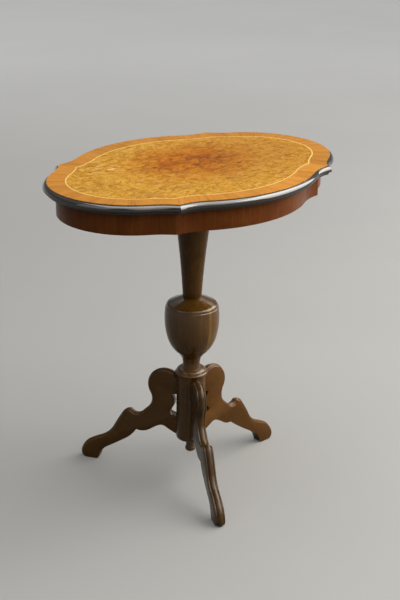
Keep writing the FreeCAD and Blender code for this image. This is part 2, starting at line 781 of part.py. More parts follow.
def all_pieces():
    foot = table_height - veneer_thickness
    pieces = {"top_board": top_board()}
    pieces["burr_field"] = plan_prism(string_inset, foot, veneer_thickness)
    strings = four_ways(band(along_side, banding_width, string_inset, foot, veneer_thickness),
                        band(along_end, banding_width, string_inset, foot, veneer_thickness))
    for side, shape in strings.items():
        pieces["string_" + side] = shape
    side_run = banding_run(along_side, side_bow_centre)
    end_run = banding_run(along_end, end_bow_centre)
    for index in range(banding_lengths):
        for side, shape in four_ways(side_run[index], end_run[index]).items():
            pieces["banding_" + side + "_" + str(index + 1)] = shape
    mouldings = four_ways(
        edge_moulding(along_side, side_bow_centre, side_hollow_centre, at(0, 1), at(1, 0)),
        edge_moulding(along_end, end_bow_centre, end_hollow_centre, at(1, 0), at(0, 1)))
    for side, shape in mouldings.items():
        pieces["edge_moulding_" + side] = shape
    pieces.update(apron_pieces())
    pieces.update(blocks())
    pieces["bearer"] = bearer()
    pieces["bearer_screws"] = Part.makeCompound([screw(centre) for centre in screw_centres()])
    pieces["shaft"] = shaft()
    pieces["tenon_wedge"] = wedge()
    pieces.update(urn_halves())
    pieces.update(base_pieces())
    pieces["drop_finial"] = drop()
    return pieces


os.makedirs("parts", exist_ok=True)
for name, shape in all_pieces().items():
    shape.exportStep("parts/" + name + ".step")
    print(name, shape.isValid(), len(shape.Solids), round(shape.Volume / 1000, 2), "cm3")
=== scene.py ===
"""Dresses the pedestal side table: softened wood, veneers, polish with a painted sheen, wear, and some
painted highlights and reflections, in a plain soft studio.
"""

import json
import logging
import math
from dataclasses import dataclass
from enum import Enum

import bpy
from mathutils import Matrix, Vector

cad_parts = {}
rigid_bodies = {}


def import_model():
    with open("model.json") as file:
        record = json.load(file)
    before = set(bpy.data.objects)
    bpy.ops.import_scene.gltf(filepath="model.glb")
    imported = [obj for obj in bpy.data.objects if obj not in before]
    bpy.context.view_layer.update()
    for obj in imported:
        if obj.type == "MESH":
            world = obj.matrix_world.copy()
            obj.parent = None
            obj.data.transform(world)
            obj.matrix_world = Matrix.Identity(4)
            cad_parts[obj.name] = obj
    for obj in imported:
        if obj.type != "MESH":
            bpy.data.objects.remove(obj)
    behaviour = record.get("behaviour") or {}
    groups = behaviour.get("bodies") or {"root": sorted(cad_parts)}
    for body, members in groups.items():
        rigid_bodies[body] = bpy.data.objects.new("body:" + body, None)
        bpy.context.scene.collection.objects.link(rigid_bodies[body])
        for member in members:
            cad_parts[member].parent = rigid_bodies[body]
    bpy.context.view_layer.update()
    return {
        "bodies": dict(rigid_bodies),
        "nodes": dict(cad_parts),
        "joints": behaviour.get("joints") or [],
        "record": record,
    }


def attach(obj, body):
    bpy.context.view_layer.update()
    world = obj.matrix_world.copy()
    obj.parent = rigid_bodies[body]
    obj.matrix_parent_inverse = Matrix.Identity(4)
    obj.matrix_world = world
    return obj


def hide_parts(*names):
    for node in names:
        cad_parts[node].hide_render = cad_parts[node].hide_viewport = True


Colour = tuple[float, float, float]
Point = tuple[float, float, float]
Material = bpy.types.Material
Node = bpy.types.Node
Tree = bpy.types.NodeTree
Object = bpy.types.Object
Outputs = bpy.types.NodeOutputs
Socket = bpy.types.NodeSocket
Value = float | int | str | bool | tuple | Socket | Tree | Object

BODY = "root"
MILLIMETRE = 0.001
NOISE_MEAN = 0.5
NUMBER_RESULTS = ("DOT_PRODUCT", "DISTANCE", "LENGTH")

log = logging.getLogger("pedestal_table")


class Place(Enum):
    """A place on the table, whose name is part of the frame's node names."""

    @property
    def word(self) -> str:
        """Returns the place's name as the frame's nodes spell it."""
        return self.name.lower()


class Side(Place):
    """The four sides of the top, with the direction that each one faces."""

    BACK = (0.0, 1.0)
    FRONT = (0.0, -1.0)
    RIGHT = (1.0, 0.0)
    LEFT = (-1.0, 0.0)

    @property
    def is_long(self) -> bool:
        """Returns whether this is one of the two long sides."""
        return self.value[0] == 0.0


class Leg(Place):
    """The three legs, with the azimuth in degrees that each one points to."""

    RIGHT = 0.0
    LEFT = 120.0
    FRONT = 241.3


class Graph:
    """A node tree with short calls that add nodes and join their sockets."""

    def __init__(self, tree: Tree) -> None:
        """Keeps the tree that the nodes go into.

        Args:
            tree: The tree of a material, a world or a node group.
        """
        self.tree = tree

    def fill(self, node: Node, inputs: dict[str | int, Value]) -> None:
        """Sets or links a node's inputs.

        Args:
            node: The node.
            inputs: Values or sockets, by the input's name or index.
        """
        for key, value in inputs.items():
            if isinstance(value, Socket):
                self.tree.links.new(value, node.inputs[key])
            else:
                node.inputs[key].default_value = value

    def add(self, kind: str, inputs: dict[str | int, Value] | None = None, **settings: Value) -> Node:
        """Adds one node, sets its properties and fills its inputs.

        Args:
            kind: The node's type name without the ShaderNode in front, such as Mix.
            inputs: Values or sockets for the node's inputs, by name or index.
            **settings: Properties of the node itself.

        Returns:
            The new node.
        """
        node = self.tree.nodes.new("ShaderNode" + kind)
        for name, value in settings.items():
            setattr(node, name, value)
        self.fill(node, inputs or {})
        return node

    def group(self, tree: Tree, inputs: dict[str, Value]) -> Outputs:
        """Adds a node group.

        Args:
            tree: The group's own tree.
            inputs: Values or sockets for its inputs.

        Returns:
            The group's outputs.
        """
        return self.add("Group", inputs, node_tree=tree).outputs

    def maths(self, operation: str, *operands: Value) -> Socket:
        """Adds a Math node.

        Args:
            operation: The node's operation.
            *operands: Its operands.

        Returns:
            The result's socket.
        """
        return self.add("Math", dict(enumerate(operands)), operation=operation).outputs[0]

    def vector(self, operation: str, *operands: Value) -> Socket:
        """Adds a Vector Math node.

        Args:
            operation: The node's operation.
            *operands: Its operands.

        Returns:
            The result's socket.
        """
        node = self.add("VectorMath", dict(enumerate(operands)), operation=operation)
        return node.outputs["Value" if operation in NUMBER_RESULTS else "Vector"]

    def ramp(self, factor: Socket, stops: tuple[float, ...], colours: tuple[Colour, ...]) -> Socket:
        """Adds a colour ramp.

        Args:
            factor: What the ramp reads.
            stops: The places of its colours, from 0 to 1.
            colours: The colours.

        Returns:
            The ramp's colour socket.
        """
        node = self.add("ValToRGB", {"Fac": factor})
        elements = node.color_ramp.elements
        while len(elements) < len(stops):
            elements.new(1.0)
        for element, place, colour in zip(elements, stops, colours):
            element.position = place
            element.color = (*colour, 1.0)
        return node.outputs["Color"]

    def span(self, value: Value, low: float, high: float, to_low: float = 0.0,
             to_high: float = 1.0) -> Socket:
        """Adds a smooth, clamped Map Range.

        Args:
            value: What is mapped.
            low: The value that becomes to_low.
            high: The value that becomes to_high.
            to_low: The result at low.
            to_high: The result at high.

        Returns:
            The result's socket.
        """
        limits = {"Value": value, "From Min": low, "From Max": high, "To Min": to_low, "To Max": to_high}
        return self.add("MapRange", limits, interpolation_type="SMOOTHSTEP").outputs["Result"]

    def mix(self, mask: Socket, first: Value, second: Value, share: Value = 1.0,
            blend: str = "MIX") -> Socket:
        """Mixes two colours.

        Args:
            mask: Where the second colour shows.
            first: The first colour.
            second: The second colour.
            share: How strong the second colour is where the mask is whole.
            blend: How the two are mixed.

        Returns:
            The result's socket.
        """
        first, second = ((*c, 1.0) if isinstance(c, tuple) else c for c in (first, second))
        factor = mask if share == 1.0 else self.maths("MULTIPLY", mask, share)
        return self.add("Mix", {0: factor, 6: first, 7: second},
                        data_type="RGBA", blend_type=blend).outputs[2]

    def noise(self, vector: Value, scale: Value, detail: float = 4.0, roughness: float = 0.55,
              distortion: float = 0.0, output: str = "Fac") -> Socket:
        """Adds a noise texture.

        Args:
            vector: The place that it is read at.
            scale: Its scale, in features to a metre.
            detail: How many finer layers it has.
            roughness: How strong the finer layers are.
            distortion: How much it is bent.
            output: Which of its results is used.

        Returns:
            The result's socket.
        """
        inputs = {"Vector": vector, "Scale": scale, "Detail": detail, "Roughness": roughness,
                  "Distortion": distortion}
        return self.add("TexNoise", inputs).outputs[output]

    def stirred(self, place: Socket, reach: Value, **settings: float) -> Socket:
        """Moves coordinates about by a noise.

        Args:
            place: The coordinates.
            reach: The span in metres over which a place is moved.
            **settings: The noise's scale and its other numbers.

        Returns:
            The moved coordinates.
        """
        drift = self.vector("SUBTRACT", self.noise(place, output="Color", **settings), (NOISE_MEAN,) * 3)
        drift = self.add("VectorMath", {0: drift, "Scale": reach}, operation="SCALE").outputs[0]
        return self.vector("ADD", place, drift)

    def azimuth(self, vector: Socket) -> Socket:
        """Reads a vector's azimuth around Z.

        Args:
            vector: The vector.

        Returns:
            The azimuth in radians.
        """
        parts = self.add("SeparateXYZ", {0: vector}).outputs
        return self.maths("ARCTAN2", parts["Y"], parts["X"])

    def seen_directly(self) -> Socket:
        """Tells camera, mirror and see-through rays from those that only carry light.

        Returns:
            A socket that is 1 for the rays that show the surface.
        """
        path = self.add("LightPath").outputs
        either = self.maths("MAXIMUM", path["Is Camera Ray"], path["Is Glossy Ray"])
        return self.maths("MAXIMUM", either, path["Is Transmission Ray"])


class EffectGraph(Graph):
    """The graph of a node group that reads coordinates and numbers and puts out numbers."""

    def __init__(self, name: str, *numbers: str) -> None:
        """Starts the group.

        Args:
            name: The group's name.
            *numbers: The names of its number inputs.
        """
        super().__init__(bpy.data.node_groups.new(name, "ShaderNodeTree"))
        self.tree.interface.new_socket("Vector", in_out="INPUT", socket_type="NodeSocketVector")
        for label in numbers:
            self.tree.interface.new_socket(label, in_out="INPUT", socket_type="NodeSocketFloat")
        self.given = self.tree.nodes.new("NodeGroupInput").outputs
        self.place = self.given["Vector"]

    def close(self, **results: Socket) -> Tree:
        """Gives the group its outputs.

        Args:
            **results: The outputs' names, each with its value.

        Returns:
            The finished group.
        """
        for label in results:
            self.tree.interface.new_socket(label, in_out="OUTPUT", socket_type="NodeSocketFloat")
        self.fill(self.tree.nodes.new("NodeGroupOutput"), results)
        return self.tree


class MaterialGraph(Graph):
    """The graph of a material with one shader, read at the object coordinates."""

    bump_strength: float = 0.6

    def __init__(self, name: str) -> None:
        """Makes the material with its shader and output.

        Args:
            name: The material's name.
        """
        self.material = bpy.data.materials.new(name)
        self.material.use_nodes = True
        super().__init__(self.material.node_tree)
        self.tree.nodes.clear()
        self.shader = self.add("BsdfPrincipled")
        self.add("OutputMaterial", {"Surface": self.shader.outputs[0]})
        self.place = self.add("TexCoord").outputs["Object"]

    def close(self, colour: Socket, roughness: Socket, height: Socket, relief: float,
              others: dict[str, Value]) -> Material:
        """Joins the results to the shader.

        Args:
            colour: The base colour.
            roughness: The roughness.
            height: The relief, as a height from 0 to 1.
            relief: The depth of the relief in metres.
            others: The shader's other inputs that this material sets.

        Returns:
            The finished material.
        """
        bump = self.add("Bump", {"Height": height, "Strength": self.bump_strength, "Distance": relief})
        inputs = {"Base Color": colour, "Roughness": roughness, "Normal": bump.outputs[0]}
        self.fill(self.shader, inputs | others)
        return self.material


class EffectGroups:
    """The effects that more than one finish uses, each built once as a node group."""

    def __init__(self) -> None:
        """Builds every group."""
        self.timber = self._timber()
        self.burr = self._burr()
        self.polish = self._polish()
        self.arris = self._arris()
        self.turning = self._turning()

    @staticmethod
    def _timber() -> Tree:
        """Builds the figure of a plain timber whose grain runs along Z.

        Returns:
            The group, with outputs Rings, Fibre, Pores and Height.
        """
        graph = EffectGraph("timber_figure", "Ring Scale", "Waver", "Fibre Scale")
        slow, drawn, dashes = (graph.vector("MULTIPLY", graph.place, (1.0, 1.0, along))
                               for along in (0.16, 0.035, 0.09))
        bent = graph.stirred(slow, graph.given["Waver"], scale=9.0, detail=2.0)
        rings = graph.add("TexWave", {"Vector": bent, "Scale": graph.given["Ring Scale"],
                                      "Distortion": 1.6, "Detail": 3.0, "Detail Scale": 1.4},
                          wave_type="RINGS", rings_direction="Z", wave_profile="SAW").outputs["Fac"]
        fibre = graph.noise(drawn, graph.given["Fibre Scale"], detail=5.0, roughness=0.62)
        pores = graph.span(graph.noise(dashes, scale=1350.0, detail=2.0, roughness=0.5), 0.6, 0.7)
        height = graph.maths("SUBTRACT", graph.maths("MULTIPLY", fibre, 0.4), pores)
        return graph.close(Rings=rings, Fibre=fibre, Pores=pores, Height=height)

    @staticmethod
    def _burr() -> Tree:
        """Builds the swirled figure of a burr, drawn out a little along X, with its wisps and small eyes.

        Returns:
            The group, with outputs Figure, Wisps, Eyes and Height.
        """
        graph = EffectGraph("burr_figure", "Scale", "Swirl")
        place, swirl = graph.place, graph.given["Swirl"]
        once = graph.stirred(place, swirl, scale=11.0, detail=3.0)
        twice = graph.stirred(once, graph.maths("MULTIPLY", swirl, 0.4), scale=42.0, detail=4.0)
        drawn = graph.vector("MULTIPLY", twice, (0.5, 1.0, 1.0))
        figure = graph.noise(drawn, graph.given["Scale"], detail=9.0, roughness=0.74)
        crests, veins = (
            graph.span(graph.maths("ABSOLUTE", graph.maths("SUBTRACT", layer, level)), *limits)
            for layer, level, limits in (
                (graph.noise(drawn, scale=27.0, detail=7.0, roughness=0.6), 0.5, (0.055, 0.004)),
                (graph.noise(once, scale=9.0, detail=5.0, roughness=0.5), 0.47, (0.02, 0.002))))
        groups = graph.span(graph.noise(place, scale=17.0, roughness=0.6), 0.42, 0.56)
        wisps = graph.maths("MAXIMUM", graph.maths("MULTIPLY", crests, groups),
                            graph.maths("MULTIPLY", veins, 0.55))
        pips = graph.add("TexVoronoi", {"Vector": twice, "Scale": 150.0}).outputs["Distance"]
        clusters = graph.span(graph.noise(place, scale=26.0, detail=3.0), 0.5, 0.62)
        eyes = graph.maths("MULTIPLY", graph.span(pips, 0.3, 0.12), clusters)
        height = graph.maths("SUBTRACT", graph.maths("MULTIPLY", figure, 0.5), eyes)
        return graph.close(Figure=figure, Wisps=wisps, Eyes=eyes, Height=height)

    @staticmethod
    def _polish() -> Tree:
        """Builds the uneven gloss of an old polish, with smears and scratches, and a painted sheen: a coat
        weight that is strong on faces that look up and weak on those that look down.

        Returns:
            The group, with outputs Roughness, Scuff and the weight of the painted sheen.
        """
        graph = EffectGraph("old_polish", "Gloss", "Wear")
        smear = graph.noise(graph.place, scale=13.0, detail=5.0, roughness=0.6, distortion=0.8)
        haze = graph.noise(graph.place, scale=120.0, detail=3.0)
        turned = graph.add("Mapping", {"Vector": graph.place, "Rotation": (0.0, 0.0, 0.6),
                                       "Scale": (1.0, 22.0, 1.0)}).outputs[0]
        scratch = graph.span(graph.noise(turned, scale=46.0, detail=2.0), 0.68, 0.74)
        scuff = graph.maths("MULTIPLY", scratch, graph.span(smear, 0.52, 0.68))
        uneven = graph.maths("MULTIPLY_ADD", smear, 0.7, graph.maths("MULTIPLY", haze, 0.3))
        spread = graph.maths("MULTIPLY", graph.maths("SUBTRACT", uneven, NOISE_MEAN), graph.given["Wear"])
        rough = graph.maths("MULTIPLY_ADD", scuff, 0.25, graph.maths("ADD", graph.given["Gloss"], spread))
        facing = graph.add("NewGeometry").outputs["Normal"]
        upright = graph.add("SeparateXYZ", {0: facing}).outputs["Z"]
        # Painted sheen: the coat's weight grows from 0.1 on faces that look down to 1 on faces that look up.
        return graph.close(Roughness=rough, Scuff=scuff, Body=graph.span(upright, -0.45, 0.9, 0.1, 1.0))

    @staticmethod
    def _arris() -> Tree:
        """Builds the mask of the worn arrises, broken up along their length.

        Returns:
            The group, with the output Edge.
        """
        graph = EffectGraph("worn_arris", "Radius")
        rounded = graph.add("Bevel", {"Radius": graph.given["Radius"]}, samples=6).outputs[0]
        true = graph.add("NewGeometry").outputs["Normal"]
        turn = graph.maths("SUBTRACT", 1.0, graph.vector("DOT_PRODUCT", rounded, true))
        broken = graph.span(graph.noise(graph.place, scale=60.0, detail=5.0, roughness=0.7), 0.42, 0.6)
        return graph.close(Edge=graph.maths("MULTIPLY", graph.span(turn, 0.02, 0.16), broken))

    @staticmethod
    def _turning() -> Tree:
        """Builds the fine tool lines that a lathe leaves around the Z axis.

        Returns:
            The group, with the output Height.
        """
        graph = EffectGraph("lathe_lines")
        around = graph.vector("MULTIPLY", graph.place, (0.02, 0.02, 1.0))
        return graph.close(Height=graph.noise(around, scale=700.0, detail=3.0, roughness=0.6))


@dataclass(frozen=True)
class Streak:
    """An upright streak of another tone on a turned piece, such as a painted highlight: where it is, how wide
    and how strong.
    """

    azimuth: float
    width: float
    strength: float
    colour: Colour

    def mask(self, graph: MaterialGraph) -> Socket:
        """Draws the streak's mask, frayed along its sides.

        Args:
            graph: The material's graph.

        Returns:
            The mask's socket.
        """
        facing = math.radians(self.azimuth)
        turned = graph.add("VectorRotate", {"Vector": graph.place, "Angle": -facing},
                           rotation_type="Z_AXIS").outputs[0]
        drawn = graph.vector("MULTIPLY", graph.place, (1.0, 1.0, 0.08))
        ragged = graph.maths("SUBTRACT", graph.noise(drawn, scale=90.0), NOISE_MEAN)
        frayed = graph.maths("MULTIPLY", ragged, math.radians(self.width))
        off = graph.maths("ABSOLUTE", graph.maths("ADD", graph.azimuth(turned), frayed))
        half = math.radians(0.5 * self.width)
        broken = graph.span(graph.noise(drawn, scale=60.0, detail=3.0), 0.36, 0.6, 0.15, self.strength)
        return graph.maths("MULTIPLY", graph.span(off, half, 0.1 * half), broken)


@dataclass(frozen=True)
class Nick:
    """A small dent or chip: its place and radius in metres, and its colour."""

    place: Point
    radius: float
    colour: Colour

    def mask(self, graph: MaterialGraph) -> Socket:
        """Draws the nick's mask, with a ragged outline.

        Args:
            graph: The material's graph.

        Returns:
            The mask's socket.
        """
        off = graph.vector("DISTANCE", graph.place, self.place)
        ragged = graph.maths("MULTIPLY", graph.noise(graph.place, scale=700.0, detail=3.0), 0.8 * self.radius)
        return graph.span(graph.maths("ADD", off, ragged), 1.3 * self.radius, 0.7 * self.radius)


@dataclass(frozen=True)
class PolishedWood:
    """Polished timber: rings, fibre and pores under an old, uneven polish."""

    name: str
    pale: Colour
    middle: Colour
    dark: Colour
    worn: Colour
    ring_scale: float = 24.0
    ring_share: float = 0.05
    fibre_share: float = 0.8
    waver: float = 0.02
    fibre_scale: float = 420.0
    cloud_scale: float = 14.0
    cloud_share: float = 0.5
    stops: tuple[float, ...] = (0.26, 0.48, 0.72)
    pore_share: float = 0.35
    gloss: float = 0.3
    wear: float = 0.3
    scuff_share: float = 0.25
    coat: float = 0.5
    coat_roughness: float = 0.12
    coat_ior: float = 1.5
    shine: float = 0.5
    turn: Point = (0.0, 0.0, 0.0)
    shift: Point = (0.0, 0.0, 0.0)
    arris_radius: float = 0.002
    arris_share: float = 0.6
    relief: float = 0.00012
    lathe_share: float = 0.0
    seam_azimuth: float | None = None
    seam_half: float = 0.0004
    seam_share: float = 0.8
    streaks: tuple[Streak, ...] = ()
    nicks: tuple[Nick, ...] = ()

    def build(self, effects: EffectGroups) -> Material:
        """Builds the material.

        Args:
            effects: The shared effect groups.

        Returns:
            The material.
        """
        graph = MaterialGraph(self.name)
        laid = graph.add("Mapping", {"Vector": graph.place, "Location": self.shift,
                                     "Rotation": tuple(map(math.radians, self.turn))}).outputs[0]
        figure = graph.group(effects.timber, {"Vector": laid, "Ring Scale": self.ring_scale,
                                              "Waver": self.waver, "Fibre Scale": self.fibre_scale})
        rings, fibre = (graph.maths("MULTIPLY", graph.maths("SUBTRACT", figure[label], NOISE_MEAN), share)
                        for label, share in (("Rings", self.ring_share), ("Fibre", self.fibre_share)))
        cloud = graph.noise(laid, scale=self.cloud_scale, roughness=0.6, distortion=0.6)
        level = NOISE_MEAN * (1.0 - self.cloud_share)
        blend = graph.maths("ADD", graph.maths("ADD", rings, fibre),
                            graph.maths("MULTIPLY_ADD", cloud, self.cloud_share, level))
        colour = graph.ramp(blend, self.stops, (self.dark, self.middle, self.pale))
        colour = graph.mix(figure["Pores"], colour, self.dark, self.pore_share)
        # Upright streaks of another tone; on the urn they include a painted highlight and a painted lit side.
        for streak in self.streaks:
            colour = graph.mix(streak.mask(graph), colour, streak.colour)
        if self.seam_azimuth is not None:
            seam = self._seam(graph, math.radians(self.seam_azimuth))
            colour = graph.mix(seam, colour, self.dark, self.seam_share)
        edge = graph.group(effects.arris, {"Vector": graph.place, "Radius": self.arris_radius})["Edge"]
        colour = graph.mix(edge, colour, self.worn, self.arris_share)
        polish = graph.group(effects.polish, {"Vector": graph.place, "Gloss": self.gloss, "Wear": self.wear})
        colour = graph.mix(polish["Scuff"], colour, self.worn, self.scuff_share)
        height = figure["Height"]
        for nick in self.nicks:
            mask = nick.mask(graph)
            colour = graph.mix(mask, colour, nick.colour)
            height = graph.maths("SUBTRACT", height, mask)
        if self.lathe_share > 0.0:
            lines = graph.group(effects.turning, {"Vector": graph.place})["Height"]
            height = graph.maths("MULTIPLY_ADD", lines, self.lathe_share, height)
        others = {"Coat Roughness": self.coat_roughness, "Coat IOR": self.coat_ior,
                  "Specular IOR Level": self.shine}
        if self.coat > 0.0:
            # The coat follows the painted sheen: stronger reflection on faces that look up, weaker on faces
            # that look down.
            others["Coat Weight"] = graph.maths("MULTIPLY", polish["Body"], self.coat)
        return graph.close(colour, polish["Roughness"], height, self.relief, others)

    def _seam(self, graph: MaterialGraph, azimuth: float) -> Socket:
        """Draws the mask of the glue line where the two halves of the blank meet.

        Args:
            graph: The material's graph.
            azimuth: The azimuth of the seam's plane, in radians.

        Returns:
            The mask's socket.
        """
        across = graph.vector("DOT_PRODUCT", graph.place, (-math.sin(azimuth), math.cos(azimuth), 0.0))
        waver = graph.maths("MULTIPLY", graph.noise(graph.place, scale=40.0, detail=3.0), self.seam_half)
        off = graph.maths("SUBTRACT", graph.maths("ABSOLUTE", across), waver)
        return graph.span(off, self.seam_half, 0.0)


@dataclass(frozen=True)
class RawWood(PolishedWood):
    """Bare timber, dull and without a coat of polish."""

    gloss: float = 0.7
    wear: float = 0.2
    coat: float = 0.0


@dataclass(frozen=True)
class CrossBanding:
    """The cross-grained border veneer, whose grain runs out from a centre."""

    name: str
    pale: Colour
    middle: Colour
    dark: Colour
    centre: tuple[float, float]
    shift: float = 0.0
    arc_radius: float = 0.24
    ring_scale: float = 9.0
    waver: float = 0.03
    fibre_scale: float = 520.0
    fibre_share: float = 0.6
    cloud_scale: float = 34.0
    cloud_share: float = 0.45
    pith_offset: float = 0.02
    stops: tuple[float, ...] = (0.32, 0.52, 0.72)
    pore_share: float = 0.4
    scuff_share: float = 0.2
    gloss: float = 0.36
    wear: float = 0.3
    shine: float = 0.07
    relief: float = 0.00006

    def build(self, effects: EffectGroups) -> Material:
        """Builds the material.

        Args:
            effects: The shared effect groups.

        Returns:
            The material.
        """
        graph = MaterialGraph(self.name)
        arm = graph.vector("SUBTRACT", graph.place, (*self.centre, 0.0))
        along = graph.maths("ADD", graph.maths("MULTIPLY", graph.azimuth(arm), self.arc_radius), self.shift)
        laid = graph.add("CombineXYZ", {"X": along, "Y": self.pith_offset,
                                        "Z": graph.vector("LENGTH", arm)}).outputs[0]
        figure = graph.group(effects.timber, {"Vector": laid, "Ring Scale": self.ring_scale,
                                              "Waver": self.waver, "Fibre Scale": self.fibre_scale})
        cloud = graph.noise(laid, scale=self.cloud_scale, detail=3.0, roughness=0.6)
        blend = graph.maths("MULTIPLY_ADD", figure["Fibre"], self.fibre_share,
                            graph.maths("MULTIPLY", cloud, self.cloud_share))
        colour = graph.ramp(blend, self.stops, (self.dark, self.middle, self.pale))
        colour = graph.mix(figure["Pores"], colour, self.dark, self.pore_share)
        polish = graph.group(effects.polish, {"Vector": graph.place, "Gloss": self.gloss, "Wear": self.wear})
        colour = graph.mix(polish["Scuff"], colour, self.pale, self.scuff_share)
        return graph.close(colour, polish["Roughness"], figure["Height"], self.relief,
                           {"Specular IOR Level": self.shine})


@dataclass(frozen=True)
class Mark:
    """A small mark on the top: its place, its length along X and its width, in metres."""

    place: tuple[float, float]
    length: float
    width: float

    def mask(self, graph: MaterialGraph, place: Socket, edge: float = 0.35) -> Socket:
        """Draws the mark's mask, an oval that fades from its middle.

        Args:
            graph: The material's graph.
            place: The coordinates that the mask is read at.
            edge: Where the oval is still whole, as a share of its reach.

        Returns:
            The mask's socket.
        """
        arm = graph.vector("SUBTRACT", place, (*self.place, 0.0))
        oval = graph.vector("MULTIPLY", arm, (2.0 / self.length, 2.0 / self.width, 0.0))
        return graph.span(graph.vector("LENGTH", oval), 1.0, edge)


@dataclass(frozen=True)
class BurrVeneer:
    """The burr sheet in the middle of the top, with a deep orange heart and dark wisps."""

    name: str = "burr_walnut"
    pale: Colour = (0.603, 0.342, 0.066)
    middle: Colour = (0.505, 0.243, 0.017)
    deep: Colour = (0.335, 0.121, 0.003)
    eye: Colour = (0.15, 0.05, 0.005)
    wisp: Colour = (0.13, 0.032, 0.004)
    heart_tint: Colour = (0.90, 0.58, 0.12)
    halo_tint: Colour = (0.78, 0.68, 0.60)
    blotch_tint: Colour = (0.76, 0.54, 0.26)
    scuff: Colour = (0.74, 0.52, 0.36)
    scale: float = 108.0
    swirl: float = 0.07
    drift: tuple[float, float] = (0.11, 9.0)
    fray: tuple[float, float] = (0.014, 70.0)
    stops: tuple[float, ...] = (0.37, 0.475, 0.58)
    halo: Mark = Mark((0.130, 0.000), 0.66, 0.50)
    heart: Mark = Mark((0.013, 0.032), 0.42, 0.34)
    core: Mark = Mark((0.008, 0.036), 0.34, 0.20)
    knots: tuple[Mark, ...] = (Mark((0.090, -0.046), 0.024, 0.011), Mark((0.052, 0.032), 0.030, 0.010),
                               Mark((-0.009, 0.062), 0.022, 0.009), Mark((-0.020, 0.030), 0.034, 0.007),
                               Mark((0.010, 0.004), 0.040, 0.007))
    blotches: tuple[Mark, ...] = (Mark((-0.038, 0.044), 0.090, 0.058), Mark((0.062, 0.042), 0.095, 0.042))
    scuffs: tuple[Mark, ...] = (Mark((-0.151, 0.090), 0.030, 0.014), Mark((-0.157, 0.126), 0.016, 0.008))
    shade_edge: float = 0.2
    core_edge: float = 0.4
    halo_share: float = 0.9
    heart_share: float = 0.85
    blotch_share: float = 0.8
    wisp_shares: tuple[float, float] = (0.3, 0.8)
    eye_share: float = 0.5
    mark_share: float = 0.75
    scuff_roughness: float = 0.3
    gloss: float = 0.38
    wear: float = 0.3
    shine: float = 0.07
    relief: float = 0.00005

    def build(self, effects: EffectGroups) -> Material:
        """Builds the material.

        Args:
            effects: The shared effect groups.

        Returns:
            The material.
        """
        graph = MaterialGraph(self.name)
        figure = graph.group(effects.burr, {"Vector": graph.place, "Scale": self.scale, "Swirl": self.swirl})
        colour = graph.ramp(figure["Figure"], self.stops, (self.deep, self.middle, self.pale))
        moved, frayed = (graph.stirred(graph.place, reach, scale=scale, roughness=0.6)
                         for reach, scale in (self.drift, self.fray))
        shades = [(self.halo, moved, self.halo_tint, self.halo_share),
                  (self.heart, moved, self.heart_tint, self.heart_share)]
        shades += [(blotch, frayed, self.blotch_tint, self.blotch_share) for blotch in self.blotches]
        for mark, coordinates, tint, share in shades:
            mask = mark.mask(graph, coordinates, self.shade_edge)
            colour = graph.mix(mask, colour, tint, share, "MULTIPLY")
        core = self.core.mask(graph, moved, self.core_edge)
        strength = graph.span(core, 0.0, 1.0, *self.wisp_shares)
        colour = graph.mix(figure["Wisps"], colour, self.wisp, strength)
        colour = graph.mix(figure["Eyes"], colour, self.eye, self.eye_share)
        for knot in self.knots:
            colour = graph.mix(knot.mask(graph, frayed), colour, self.wisp, self.mark_share)
        polish = graph.group(effects.polish, {"Vector": graph.place, "Gloss": self.gloss, "Wear": self.wear})
        roughness = polish["Roughness"]
        for scuff in self.scuffs:
            mask = scuff.mask(graph, frayed)
            colour = graph.mix(mask, colour, self.scuff, self.mark_share)
            roughness = graph.maths("MULTIPLY_ADD", mask, self.scuff_roughness, roughness)
        return graph.close(colour, roughness, figure["Height"], self.relief,
                           {"Specular IOR Level": self.shine})


@dataclass(frozen=True)
class DullMetal:
    """Aged steel of the screws."""

    name: str = "aged_steel"
    base: Colour = (0.30, 0.27, 0.23)
    rust: Colour = (0.14, 0.06, 0.03)
    gloss: float = 0.45
    wear: float = 0.3
    metallic: float = 0.9
    relief: float = 0.0001

    def build(self, effects: EffectGroups) -> Material:
        """Builds the material.

        Args:
            effects: The shared effect groups.

        Returns:
            The material.
        """
        graph = MaterialGraph(self.name)
        spots = graph.noise(graph.place, scale=500.0, roughness=0.7)
        colour = graph.mix(graph.span(spots, 0.45, 0.65), self.base, self.rust)
        polish = graph.group(effects.polish, {"Vector": graph.place, "Gloss": self.gloss, "Wear": self.wear})
        return graph.close(colour, polish["Roughness"], spots, self.relief, {"Metallic": self.metallic})


def toned(colour: Colour, tone: Colour) -> Colour:
    """Multiplies a colour by a tone, channel by channel.

    Args:
        colour: The colour.
        tone: The tone, where 1 leaves a channel as it is.

    Returns:
        The toned colour.
    """
    return tuple(channel * share for channel, share in zip(colour, tone))


def deselect() -> None:
    """Leaves nothing selected and no object in edit mode."""
    if bpy.context.object and bpy.context.object.mode != "OBJECT":
        bpy.ops.object.mode_set(mode="OBJECT")
    bpy.ops.object.select_all(action="DESELECT")


def pick(piece: Object) -> None:
    """Makes one piece the only selected and the active object.

    Args:
        piece: The object to pick.
    """
    deselect()
    piece.select_set(True)
    bpy.context.view_layer.objects.active = piece


def apply_modifier(piece: Object, kind: str, **settings: Value) -> None:
    """Adds a modifier, sets it up and applies it.

    Args:
        piece: The object that gets the modifier.
        kind: The modifier's type.
        **settings: Its properties.
    """
    modifier = piece.modifiers.new(kind.title(), kind)
    for name, value in settings.items():
        setattr(modifier, name, value)
    pick(piece)
    bpy.ops.object.modifier_apply(modifier=modifier.name)


def settle(piece: Object, material: Material, node: str) -> None:
    """Gives a piece its material and body, and hides the node that it stands for.

    Args:
        piece: The finished piece.
        material: Its material.
        node: The frame's node that it replaces.
    """
    piece.data.materials.clear()
    piece.data.materials.append(material)
    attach(piece, BODY)
    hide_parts(node)
    log.info("%s: %d faces", piece.name, len(piece.data.polygons))


